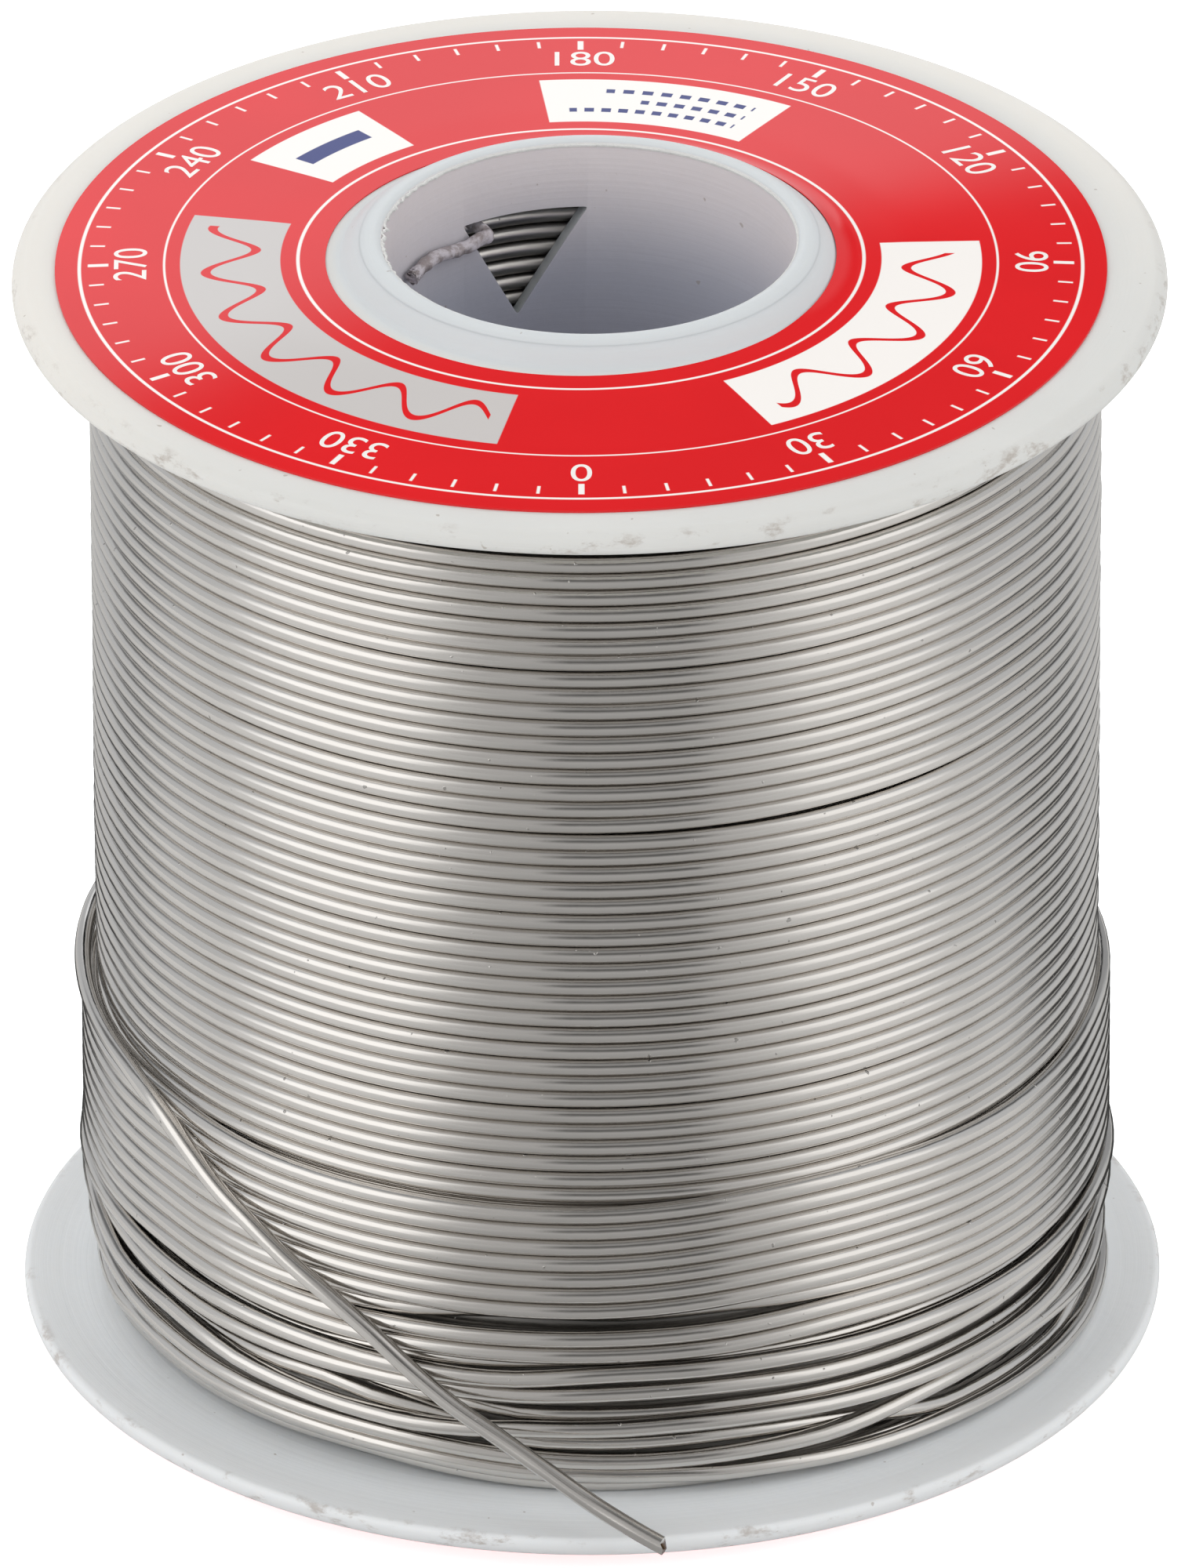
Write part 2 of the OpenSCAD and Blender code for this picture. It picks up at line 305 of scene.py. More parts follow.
def label_finish(colours, sizes, name, turn):
    """Printed label: a plain dial round the edge and panels with a wave of wire inside it."""
    finish = Finish(name)
    centre = (-sizes.label_offset, -sizes.label_forward, 0.0)
    away, around, _ = polar(finish, centre)
    around = finish.maths("MODULO", around + turn, 360.0)
    soft = 0.03

    def every(degrees, share):
        """Nought to one lines that repeat round the dial."""
        place = finish.maths("FRACT", around / degrees)
        nearest = finish.maths("MINIMUM", place, 1.0 - place) * degrees * (math.pi / 180) * away
        return finish.step(nearest, share - soft, share + soft, 0.0, 1.0)

    def sector(first, last):
        half = (last - first) / 2
        off = finish.maths("ABSOLUTE", finish.maths("WRAP", around - (first + half), 180.0, -180.0))
        return finish.step((off - half) * (math.pi / 180) * away, -soft, soft, 0.0, 1.0)

    def ring(low, high):
        return finish.band(away, low, high, soft)

    field = ring(13.2, 17.6)
    panels = finish.most(sector(28, 96), sector(148, 186), sector(214, 236)) * field
    marks = finish.most(ring(21.0, 21.65) * every(5.0, 0.07), ring(20.75, 21.65) * every(30.0, 0.13))
    white = finish.most(ring(21.95, 22.1), marks, ring(12.35, 12.5), ring(18.25, 18.35), panels)
    grey = sector(255, 348) * field
    wave = (away - 15.4) - finish.maths("SINE", around * (math.pi / 180 * 24)) * 1.1
    wire = finish.step(finish.maths("ABSOLUTE", wave), 0.19, 0.25, 0.0, 1.0)
    red_wave = finish.most(sector(32, 92), sector(258, 345)) * wire * field
    dashes = finish.step(finish.maths("PINGPONG", around, 1.5), 0.6, 0.7)
    rows = finish.most(sector(152, 182) * ring(14.2, 14.6), sector(152, 170) * ring(15.2, 15.6),
                       sector(152, 176) * ring(16.2, 16.6))
    blue = finish.most(rows * dashes, sector(218, 232) * ring(15.0, 16.0))

    where = finish.place()
    print_grain = finish.noise(where, 2600.0, 2.0)
    fade = finish.noise(where, 60.0, 3.0)
    red = finish.mix(finish.step(fade, 0.3, 0.7), colours.red, times(colours.red, 0.92))
    base = finish.over(red, (white, colours.paper), (grey, colours.grey), (red_wave, red), (blue, colours.blue))
    cockle = finish.bump(finish.noise(where, 150.0, 2.0), 0.2, 0.0002)
    skin = finish.bump(print_grain, 0.12, 0.00003, cockle)
    coated(finish, base, print_grain, Normal=skin)
    return finish.material


def numeral_finish(colours):
    finish = Finish("numerals")
    grain = finish.noise(finish.place(), 2600.0, 2.0)
    coated(finish, finish.mix(grain, colours.paper, times(colours.paper, 0.93)), grain)
    return finish.material


def solder_finish(colours, name="solder", dull_shaded=0.0):
    """Bright drawn wire with fine lines along it, small pits and darker, rougher specks; a rougher copy has a band on
    each turn painted darker, as painted shade.
    """
    finish = Finish(name)
    where = finish.place()
    away, around, height = polar(finish)
    along = finish.vector(around * 0.22, away * 6.0, height * 6.0)
    lines = finish.noise(along, 1.6, 5.0, 0.65)
    slow = finish.noise(finish.vector(around * 0.05, away * 0.6, height * 0.9), 1.0, 3.0)
    pits = finish.step(finish.noise(where, 2600.0, 1.5), 0.755, 0.8)
    tone = finish.mix(slow, times(colours.solder, 0.9), colours.solder)
    tone = finish.mix(pits * 0.7, tone, times(colours.solder, 0.45))
    # Painted shade: a band on each turn of the inner wire is painted darker, as shade between the turns.
    if dull_shaded:
        climb = (around + 90.0) / (360.0 / PITCH)
        place = finish.maths("FRACT", (height - FIRST_LOW - climb) / PITCH + 0.5)
        tone = finish.mix(finish.step(place, 0.45, 0.68) * finish.step(place, 0.82, 0.95, 0.0, 1.0),
                          times(colours.solder, 0.42), tone)
    rough = finish.step(lines, 0.3, 0.7, 0.17 + dull_shaded, 0.09 + dull_shaded) + pits * 0.25
    fine = finish.bump(lines, 0.12, 0.00003)
    finish.surface(Base_Color=tone, Metallic=1.0, Roughness=rough, Normal=finish.bump(pits, 0.5, 0.00005, fine))
    return finish.material


def start_finish():
    """Dull wire with pale residue, as it was bent and torn off in the bore."""
    finish = Finish("start_solder")
    where = finish.place()
    crust = finish.noise(where, 1700.0, 5.0, 0.7)
    cover = finish.step(crust, 0.4, 0.6)
    tone = finish.mix(cover, shade(158, 148, 148), shade(196, 190, 196))
    finish.surface(Base_Color=tone, Metallic=0.3 - cover * 0.3, Roughness=0.45 + cover * 0.3,
                   Normal=finish.bump(crust, 0.6, 0.00012))
    return finish.material


def flux_finish(colours):
    finish = Finish("flux")
    grain = finish.noise(finish.place(), 9000.0, 3.0)
    finish.surface(Base_Color=finish.mix(grain, colours.flux, times(colours.flux, 0.6)), Roughness=0.5)
    return finish.material


# ---------------------------------------------------------------- modelling helpers


def rest():
    """Leaves edit mode with nothing selected."""
    if bpy.context.object and bpy.context.object.mode != "OBJECT":
        bpy.ops.object.mode_set(mode="OBJECT")
    bpy.ops.object.select_all(action="DESELECT")


def pick(*pieces):
    """Selects pieces alone and makes the first of them active."""
    rest()
    for piece in pieces:
        piece.select_set(True)
    bpy.context.view_layer.objects.active = pieces[0]


def edit(piece):
    pick(piece)
    bpy.ops.object.mode_set(mode="EDIT")
    bpy.ops.mesh.select_all(action="SELECT")


def seal(piece):
    """Merges doubles and turns the faces outwards."""
    edit(piece)
    bpy.ops.mesh.remove_doubles(threshold=2e-6)
    bpy.ops.mesh.normals_make_consistent(inside=False)
    rest()


def soften(piece, degrees=30):
    """Smooth shading, but for edges sharper than an angle."""
    pick(piece)
    bpy.ops.object.shade_smooth_by_angle(angle=math.radians(degrees))


def finish_piece(piece, material, nodes=(), body="root"):
    """Gives a piece its material, hides the solids it stands for and hangs it on the body that carries it."""
    pick(piece)
    bpy.ops.object.transform_apply(location=True, rotation=True, scale=True)
    piece.data.materials.clear()
    piece.data.materials.append(material)
    if nodes:
        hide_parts(*nodes)
    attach(piece, body)
    return piece


def turned(name, section, steps=192, centre=(0.0, 0.0)):
    """Solid of revolution of a closed section of (radius, height) points in millimetres."""
    rest()
    bpy.ops.mesh.primitive_circle_add(vertices=len(section), radius=0.01, fill_type="NOTHING")
    piece = bpy.context.object
    piece.name = name
    for vertex, (radius, height) in zip(piece.data.vertices, section):
        vertex.co = (centre[0] + radius * MM, centre[1], height * MM)
    edit(piece)
    bpy.ops.mesh.spin(steps=steps, angle=2 * math.pi, center=(centre[0], centre[1], 0), axis=(0, 0, 1))
    seal(piece)
    soften(piece)
    return piece


def arc(centre_r, centre_z, radius, first, last, steps=8):
    """Points of a rounding, from one angle to another in degrees."""
    angles = [math.radians(first + (last - first) * i / steps) for i in range(steps + 1)]
    return [(centre_r + radius * math.cos(a), centre_z + radius * math.sin(a)) for a in angles]


def smooth(rows, at):
    """Values at a place in rows of (place, value, ...), joined by smooth curves."""
    if at <= rows[0][0]:
        return rows[0][1:]
    if at >= rows[-1][0]:
        return rows[-1][1:]
    i = max(k for k in range(len(rows) - 1) if rows[k][0] <= at)
    low, high = rows[i], rows[i + 1]
    before, after = rows[max(i - 1, 0)], rows[min(i + 2, len(rows) - 1)]
    span = high[0] - low[0]
    t = (at - low[0]) / span
    out = []
    for c in range(1, len(low)):
        m0 = (high[c] - before[c]) / (high[0] - before[0]) * span
        m1 = (after[c] - low[c]) / (after[0] - low[0]) * span
        out.append((2 * t ** 3 - 3 * t ** 2 + 1) * low[c] + (t ** 3 - 2 * t ** 2 + t) * m0
                   + (3 * t ** 2 - 2 * t ** 3) * high[c] + (t ** 3 - t ** 2) * m1)
    return tuple(out)


def front_point(angle, radius, height, shift=0.0):
    """Point in metres at an angle in degrees from the front, towards +X."""
    a = math.radians(angle)
    return Vector((radius * math.sin(a) + shift, -radius * math.cos(a), height)) * MM


def wires(name, runs, thickness, round_steps=4):
    """Round wire along one or more lines of points."""
    curve = bpy.data.curves.new(name, "CURVE")
    curve.dimensions = "3D"
    curve.bevel_depth = thickness / 2
    curve.bevel_resolution = round_steps
    curve.use_fill_caps = True
    for run in runs:
        spline = curve.splines.new("POLY")
        spline.points.add(len(run) - 1)
        for spot, point in zip(spline.points, run):
            spot.co = (*point, 1.0)
    piece = bpy.data.objects.new(name, curve)
    bpy.context.scene.collection.objects.link(piece)
    pick(piece)
    bpy.ops.object.convert(target="MESH")
    piece = bpy.context.object
    piece.name = name
    bpy.ops.object.shade_smooth()
    return piece


# ---------------------------------------------------------------- winding tables

# Loose end: angle from the front, distance out from the last layer's middle, share of the height
FREE_ROUTE = [
    (-104, 0.1, 1), (-98, 0.2, 1), (-92, 0.3, 1), (-86, 0.4, 0.994),
    (-80, 0.5, 0.988), (-74, 0.6, 0.982), (-68, 0.7, 0.976), (-62, 0.8, 0.963),
    (-58, 0.9, 0.945), (-54, 0.9, 0.908), (-50, 0.9, 0.853), (-45, 0.9, 0.78),
    (-40, 0.9, 0.719), (-35, 0.9, 0.651), (-30, 0.9, 0.584), (-25, 0.9, 0.505),
    (-20, 1, 0.413), (-15, 1.3, 0.333), (-10, 1.7, 0.266), (-5, 2.4, 0.199),
    (0, 3.3, 0.125), (4, 4.3, 0.076), (7, 5.1, 0.04),
]
FREE_RADIUS = 22.45
FREE_LOW = 2.55
FREE_HEIGHT = 16.35
FREE_TOP = FREE_LOW + FREE_HEIGHT
FREE_START = 250
# How far it lies nearer the turns at the left, where that is, and over what reach
NEARER, NEARER_AT, NEARER_REACH = 0.24, -23.0, 9.0

# Start window: degrees past the back, half its width and its upper edge
WINDOW_TURN, WINDOW_HALF, WINDOW_TOP = 19.8, 2.825, 50.75

# Inner end: where it comes in through the window, then angle past that, gap to the bore's wall, drop
START_ANGLE = 180 + WINDOW_TURN + math.degrees(math.asin((WINDOW_HALF - PITCH) / 10.4))
START_RADII = (10.392, 9.592, 8.7)
START_HEIGHT = 50.2
START_ROUTE = [
    (3.5, 0.05, 0.1), (7, 0.05, 0.2), (12, 0.05, 0.2), (17, 0.05, 0.1),
    (23, 0.05, 0), (29, 0.05, 0.1), (34, 0.05, 0.2),
]
# Thickness before it is crumpled, and how far its torn end is frayed
START_WIRE = 0.6 * MM
TORN_LENGTH, TORN_DEPTH = 0.9 * MM, 0.09 * MM
CRUMPLE_SCALE, CRUMPLE_DEPTH = 0.6 * MM, 0.22 * MM

# Middle height of the last layer's top turn round the front; the turns below repeat it
CREST = [
    (-180, 17.22), (-130, 17.34), (-90, 17.46), (-75, 17.5), (-70, 17.55), (-65, 17.62), (-60, 17.65), (-55, 17.6),
    (-50, 17.45), (-45, 17.32), (-40, 17.25), (-30, 17.22), (-20, 17.23), (-10, 17.24), (0, 17.29), (5, 17.36),
    (10, 17.46), (15, 17.57), (20, 17.66), (25, 17.7), (30, 17.68), (35, 17.64), (40, 17.56), (45, 17.5),
    (50, 17.46), (55, 17.44), (60, 17.49), (65, 17.54), (70, 17.62), (75, 17.74), (90, 17.78), (130, 17.88),
    (180, 18.02),
]
CREST_TURNS = 7

# Crossing turns near the lower flange, from the top down, at these angles: height at the first angle, then how far
# out from their usual radius and how far up from that height each turn lies, in hundredths of a millimetre
LOW_ANGLES = (
    -180, -150, -126, -108, -96, -87, -81, -75, -69, -63, -57, -51, -45, -39, -33, -27, -21, -15, -9, -3, 3, 9,
    15, 21, 27, 33, 39, 45, 51, 57, 63, 69, 75, 81, 87, 96, 108, 126, 150, 180,
)
LOW_RADIUS = 22.5
LOW_TURNS = [
    (1162,
     [0, 0, 0, 0, 0, -1, -1, -1, -2, -3, -4, -6, -9, -14, -20, -29, -43, -60, -69, -68, -63, -58, -50, -36, -25, -17,
      -12, -8, -5, -4, -2, -2, -1, -1, 0, 0, 0, 0, 0, 0],
     [0, 7, 13, 19, 23, 25, 26, 28, 29, 42, 42, 28, 14, 5, 2, -2, 7, 33, 46, 44, 42, 49, 56, 52, 50, 46, 39, 31, 26,
      23, 26, 32, 35, 37, 39, 42, 48, 59, 72, 80]),
    (1082, [0] * 40,
     [0, 7, 14, 20, 24, 26, 27, 29, 31, 44, 44, 30, 17, 9, 4, 4, 7, 11, 17, 22, 27, 31, 37, 46, 53, 50, 42, 34, 28,
      24, 26, 32, 35, 37, 39, 42, 48, 59, 72, 80]),
    (1002,
     [0, 3, 8, 9, 7, 4, 3, 2, 1, 1, 1, 0, 0, 0, 0, 1, 1, 1, 2, 2, 2, 1, 1, 1, 0, 0, 0, 0, 0, 0, 0, 0, 0, 0, 0, 0, 0,
      0, 0, 0],
     [0, 8, 14, 21, 24, 27, 28, 31, 33, 45, 45, 31, 19, 10, 4, 3, 7, 12, 17, 23, 27, 30, 35, 45, 54, 52, 43, 35, 29,
      25, 26, 32, 35, 37, 39, 42, 48, 59, 72, 80]),
    (922,
     [0, -16, -42, -52, -57, -61, -59, -54, -56, -60, -61, -61, -61, -61, -61, -58, -54, -52, -54, -58, -60, -63, -64,
      -64, -62, -61, -60, -59, -59, -58, -57, -55, -54, -53, -44, -25, -11, -3, -1, 0],
     [0, 12, 34, 50, 59, 29, 11, -1, 1, 19, 18, -2, -13, -21, -20, -2, 11, 22, 37, 52, 54, 41, 31, 27, 25, 23, 20, 11,
      0, -13, -18, -19, -18, -2, 22, 47, 49, 59, 73, 80]),
    (842,
     [0, 2, 4, 7, 11, 16, 17, 16, 16, 17, 18, 18, 18, 17, 17, 15, 12, 9, 8, 8, 8, 11, 12, 13, 14, 14, 16, 17, 19, 20,
      21, 21, 22, 23, 22, 20, 17, 14, 8, 0],
     [0, 15, 49, 76, 91, 103, 110, 114, 115, 107, 95, 84, 76, 68, 61, 54, 48, 44, 53, 77, 92, 94, 94, 92, 86, 80, 78,
      75, 72, 68, 70, 77, 79, 72, 62, 50, 54, 61, 73, 80]),
    (762,
     [0, 0, -1, -4, -9, -16, -23, -24, -18, -13, -9, -6, -5, -4, -4, -5, -5, -5, -5, -5, -5, -5, -6, -6, -7, -7, -9,
      -10, -13, -17, -23, -27, -29, -33, -39, -51, -53, -48, -26, 0],
     [0, 15, 49, 77, 95, 105, 102, 86, 85, 75, 62, 50, 46, 46, 49, 52, 50, 47, 47, 59, 69, 73, 71, 61, 51, 47, 47, 49,
      54, 62, 70, 71, 69, 78, 84, 100, 99, 93, 82, 80]),
    (522,
     [0, -24, -60, -105, -120, -121, -125, -132, -141, -148, -151, -152, -149, -142, -139, -138, -118, -98, -89, -89,
      -91, -93, -93, -91, -87, -84, -83, -82, -80, -78, -75, -67, -58, -56, -61, -67, -63, -55, -29, 0],
     [0, 34, 93, 142, 170, 167, 165, 158, 157, 170, 178, 169, 167, 170, 166, 169, 181, 179, 159, 160, 161, 161, 163,
      157, 151, 144, 136, 132, 128, 119, 114, 117, 132, 156, 174, 209, 214, 223, 236, 240]),
    (682,
     [0, -49, -63, -57, -52, -48, -49, -55, -63, -70, -73, -76, -72, -64, -63, -71, -88, -98, -96, -96, -97, -100,
      -103, -110, -118, -118, -111, -107, -102, -94, -88, -79, -64, -51, -42, -33, -25, -16, -7, 0],
     [0, 11, 29, 43, 49, 39, 31, 17, 7, 11, 7, -3, 0, 10, 19, -17, -47, -90, -140, -147, -148, -147, -147, -160, -181,
      -217, -266, -314, -327, -338, -353, -364, -317, -285, -268, -256, -243, -217, -181, -160]),
    (602,
     [0, 13, 15, 12, 8, 4, 3, 3, 4, 4, 2, 0, -5, -13, -19, -21, -22, -25, -27, -28, -27, -26, -25, -24, -23, -20, -16,
      -11, -7, -2, 2, 3, 2, 3, 7, 10, 11, 12, 7, 0],
     [0, 43, 114, 159, 177, 190, 191, 160, 122, 115, 111, 81, 43, 22, 7, -2, -7, 3, 24, 30, 36, 44, 43, 38, 27, 19,
      17, 19, 20, 24, 38, 71, 117, 137, 133, 116, 111, 101, 86, 80]),
    (442,
     [0, -5, -11, -15, -18, -20, -22, -24, -27, -30, -35, -41, -48, -55, -61, -67, -71, -74, -76, -76, -75, -72, -67,
      -59, -50, -42, -37, -32, -29, -26, -23, -20, -18, -16, -15, -13, -11, -8, -4, 0],
     [0, 29, 76, 111, 130, 139, 141, 139, 119, 104, 91, 73, 63, 58, 57, 53, 44, 30, 17, 7, 3, 3, 7, 13, 22, 48, 77,
      93, 101, 98, 85, 62, 42, 43, 49, 60, 75, 103, 138, 160]),
    (362,
     [0, -14, -31, -44, -51, -55, -58, -60, -63, -66, -70, -75, -81, -86, -90, -94, -97, -99, -99, -98, -95, -91, -84,
      -77, -69, -61, -53, -43, -32, -22, -11, -4, -2, -1, -1, 0, 0, 2, 1, 0],
     [0, 12, 13, 17, 19, 18, 17, 21, 54, 60, 53, 48, 48, 48, 49, 45, 37, 24, 13, 10, 5, -1, -13, -17, -27, -34, -37,
      -39, -43, -49, -51, -56, -66, -66, -66, -62, -45, -7, 47, 80]),
    (296,
     [0, -26, -57, -81, -93, -101, -106, -110, -114, -119, -125, -130, -135, -140, -144, -148, -150, -152, -153, -155,
      -156, -157, -159, -161, -163, -165, -165, -165, -164, -164, -162, -155, -145, -135, -125, -111, -92, -66, -28,
      0],
     [0, 0, 0, 0, 0, 0, 0, 0, 28, 38, 35, 38, 43, 49, 56, 52, 39, 25, 13, 4, 1, 4, 4, 2, 0, 0, 0, 2, 6, 8, 5, 3, 4, 4,
      4, 5, 9, 17, 34, 66]),
]


def crest(angle):
    """Height of the last layer's top turn at an unrolled angle; it climbs one wire a turn."""
    turn = math.floor((angle + 180) / 360)
    return smooth(CREST, angle - 360 * turn)[0] + PITCH * turn


def free_points():
    """Points of the loose end, in metres, along its solid and a little nearer the turns at the left."""
    last = front_point(FREE_START - 360, FREE_RADIUS, FREE_TOP)
    before = front_point(FREE_START - 375, FREE_RADIUS, FREE_TOP - PITCH / 12)
    way = (last - before).normalized() * PITCH * MM
    points = [last + way, last + way * 2]
    for angle, out, share in FREE_ROUTE:
        points.append(front_point(angle, FREE_RADIUS + out, FREE_LOW + FREE_HEIGHT * share))
    for point in points:
        point.x += NEARER * MM * max(0.0, 1.0 - abs(point.x / MM - NEARER_AT) / NEARER_REACH)
    return points


def finer(points, parts):
    """More points on the smooth curve through some."""
    out = []
    for i in range(len(points) - 1):
        a = points[max(i - 1, 0)]
        b, c = points[i], points[i + 1]
        d = points[min(i + 2, len(points) - 1)]
        for k in range(parts):
            t = k / parts
            out.append(0.5 * ((2 * b) + (c - a) * t + (2 * a - 5 * b + 4 * c - d) * t * t
                              + (3 * b - a - 3 * c + d) * t ** 3))
    out.append(points[-1])
    return out


# ---------------------------------------------------------------- light

# Name, place, size and power
LAMPS = [
    ("left_lamp", (-0.92, -0.49, 0.62), (1.0, 0.8), 4.8),
    ("right_lamp", (0.95, -0.45, 0.60), (0.8, 0.8), 3.7),
    ("back_lamp", (-0.1, 1.0, 0.75), (0.9, 0.5), 3.6),
]


def floor_finish():
    """Pale floor that keeps shadows and can't be seen from below."""
    finish = Finish("floor")
    glossy = finish.ray("Glossy")
    away, around, _ = polar(finish)

    # In the shiny wire the floor is darker straight in front and far out behind
    front = finish.maths("ABSOLUTE", around - 272.0)
    shaded = glossy * finish.step(front, 12.0, 52.0, 0.0, 1.0) * 0.42
    off = finish.maths("WRAP", around - 270.0, 180.0, -180.0)
    sides = finish.most(finish.step(off, 86.0, 108.0), finish.step(off, -102.0, -126.0))
    shaded = shaded + glossy * sides * finish.step(away, 55.0, 100.0, 0.2, 1.0) * 0.92
    tone = finish.mix(shaded + glossy * (1.0 - shaded) * 0.38, (0.8, 0.8, 0.8), (0.0, 0.0, 0.0))

    # It glows for the eye, for what shines in the wire and, under the spool, for matt surfaces
    pale = finish.node("BsdfDiffuse", None, {0: tone}).outputs[0]
    glow = finish.node("Emission", None, {0: (0.98, 1.0, 1.0), 1: 0.7}).outputs[0]
    lit = finish.node("AddShader", None, {0: pale, 1: glow}).outputs[0]
    under = finish.ray("Diffuse") * finish.step(away, 24.2, 23.2)
    seen = finish.most(finish.ray("Camera"), glossy * (1.0 - shaded) * 0.33, finish.ray("Transmission"), under)
    top = finish.node("MixShader", None, {0: seen, 1: pale, 2: lit}).outputs[0]
    clear = finish.node("BsdfTransparent").outputs[0]
    below = finish.node("NewGeometry").outputs["Backfacing"]
    finish.close(finish.node("MixShader", None, {0: below, 1: top, 2: clear}).outputs[0])
    return finish.material


def make_sky(scene):
    """White backdrop for the eye, an even level for matt surfaces and soft zones for shiny ones."""
    scene.world = bpy.data.worlds.new("sky")
    sky = Nodes(scene.world, "OutputWorld")
    x, y, z = sky.parts(sky.node("TexCoord").outputs["Generated"])
    around = sky.maths("ARCTAN2", x, 0.0 - y) * (180 / math.pi)
    rise = sky.maths("ARCSINE", z) * (180 / math.pi)
    side = sky.maths("ABSOLUTE", around)
    right = sky.step(around, -2.0, 2.0)

    # In front: an even level with a dim core, and a soft box at each side
    dim = sky.band(around, -11.5, 25.0, 2.5)
    shine = 0.66 - sky.band(around, -31.0, 34.0, 7.0) * 0.15
    core = 0.44 - sky.step(rise, -4.0, 26.0) * 0.3 + sky.step(rise, 32.0, 50.0) * 0.22
    shine = shine + dim * (core - shine)
    shine = shine - sky.band(around, 15.0, 23.0, 1.5) * sky.band(rise, 8.0, 30.0, 5.0) * 0.04
    boxes = sky.band(around, -83.0, -39.0, 8.0) * 0.76 + sky.band(around, 46.0, 81.0, 8.0) * 0.56
    shine = shine + boxes * sky.band(rise, -3.0, 50.0, 11.0)
    shine = shine * sky.step(rise, 45.0, 85.0, 0.35, 1.0)

    # Beside and behind: dark flanks, a grey rear and the patch that shines in the labels
    flank = sky.step(side, 112.0, 132.0) * sky.step(side, 144.0, 158.0, 0.0, 1.0) * sky.step(rise, 14.0, 28.0)
    shine = shine * (1.0 - flank * (right * 0.12 + 0.73))
    rear = sky.step(side, 138.0, 150.0)
    shine = shine + rear * (0.58 - right * 0.2 - shine)
    patch = sky.step(x * -10.6 - (rise - 28.4) * 0.2176, 0.0, 0.45, 1.1)
    shine = shine + sky.step(side, 164.0, 174.0) * (patch - shine)

    glossy = sky.ray("Glossy")
    level = 0.8 + glossy * (shine - 0.8)
    level = level + sky.ray("Camera") * (1.0 - level)
    tint = sky.mix(glossy * sky.step(side, 60.0, 110.0), (1.0, 1.0, 1.0), (0.96, 0.99, 1.03))
    sky.close(sky.node("Background", None, {0: tint, 1: level}).outputs[0])


# ---------------------------------------------------------------- operators


def sizes_and_colours():
    return bpy.context.scene.spool_sizes, bpy.context.scene.spool_colours


CAMERA_TARGET = (-0.00002, 0.0, 0.02663)
CAMERA_DISTANCE = 1.25857
CAMERA_RISE = math.radians(28.368)
CAMERA_ROLL = math.radians(-0.147)
CAMERA_LENS = 651.42


class SPOOL_OT_stage(bpy.types.Operator):
    """Adds the camera, the floor, the lamps and the sky"""
    bl_idname = "spool.stage"
    bl_label = "Camera, floor and lamps"

    def execute(self, context):
        rest()
        target = Vector(CAMERA_TARGET)
        back = Vector((0, -math.cos(CAMERA_RISE), math.sin(CAMERA_RISE)))
        bpy.ops.object.camera_add(location=target + back * CAMERA_DISTANCE)
        camera = context.object
        camera.name = "camera"
        camera.rotation_mode = "QUATERNION"
        turn = back.to_track_quat("Z", "Y")
        camera.rotation_quaternion = turn @ Quaternion((0, 0, 1), CAMERA_ROLL)
        camera.data.sensor_fit = "VERTICAL"
        camera.data.sensor_height = 36.0
        camera.data.sensor_width = 36.0
        camera.data.lens = CAMERA_LENS
        camera.data.clip_start = 0.05
        camera.data.clip_end = 20.0
        context.scene.camera = camera

        rest()
        bpy.ops.mesh.primitive_circle_add(vertices=96, radius=0.6, fill_type="NGON")
        floor = context.object
        floor.name = "floor"
        floor.data.materials.append(floor_finish())

        for name, place, size, power in LAMPS:
            bpy.ops.object.light_add(type="AREA", location=place)
            lamp = context.object
            lamp.name = name
            lamp.rotation_mode = "QUATERNION"
            lamp.rotation_quaternion = (Vector(place) - Vector((0, 0, 0.027))).to_track_quat("Z", "Y")
            lamp.data.shape = "RECTANGLE"
            lamp.data.size, lamp.data.size_y = size
            lamp.data.energy = power
            lamp.visible_glossy = False
        make_sky(context.scene)
        return {"FINISHED"}


# Cut tip: how far back from the last point it is, how far the flux stands out of it, and how it leans
CUT_BACK = 0.3 * MM
CUT_PROUD = 0.01 * MM
CUT_SLANT = Vector((0.55, 0.0, 0.35))


class SPOOL_OT_free_end(bpy.types.Operator):
    """Adds the loose outer end of the wire with its cut tip and the flux in it"""
    bl_idname = "spool.free_end"
    bl_label = "Loose end"

    def execute(self, context):
        sizes, colours = sizes_and_colours()
        points = free_points()
        line = finer(points, 6)
        cut_at = points[-1]
        way = (points[-1] - points[-2]).normalized()
        slant = (way + CUT_SLANT).normalized()
        wire = wires("loose_end_wire", [line], sizes.wire)
        core = wires("loose_end_flux", [line[-8:]], sizes.flux, 2)
        for piece, proud in ((wire, 0.0), (core, CUT_PROUD)):
            edit(piece)
            bpy.ops.mesh.bisect(plane_co=cut_at - way * CUT_BACK + slant * proud, plane_no=slant,
                                use_fill=True, clear_outer=True)
            rest()
        for piece in (wire, core):
            if not piece.data.polygons:
                raise RuntimeError("the cut through the loose end left nothing")
            soften(piece, 50)
        finish_piece(core, flux_finish(colours), ["flux_core"])
        finish_piece(wire, solder_finish(colours, "loose_solder"), ["free_end"])
        return {"FINISHED"}


# How much lower the outer face of a flange lies for each millimetre towards its collar
DISH = 0.5 / 13.45


def collar_line(sizes, radius):
    """Height above the floor of the rounded end of the barrel and its collar."""
    out = (radius - 9.5) / ((sizes.collar_radius - sizes.foot_radius) / MM)
    return sizes.collar_low / MM * max(0.0, out) ** 1.7


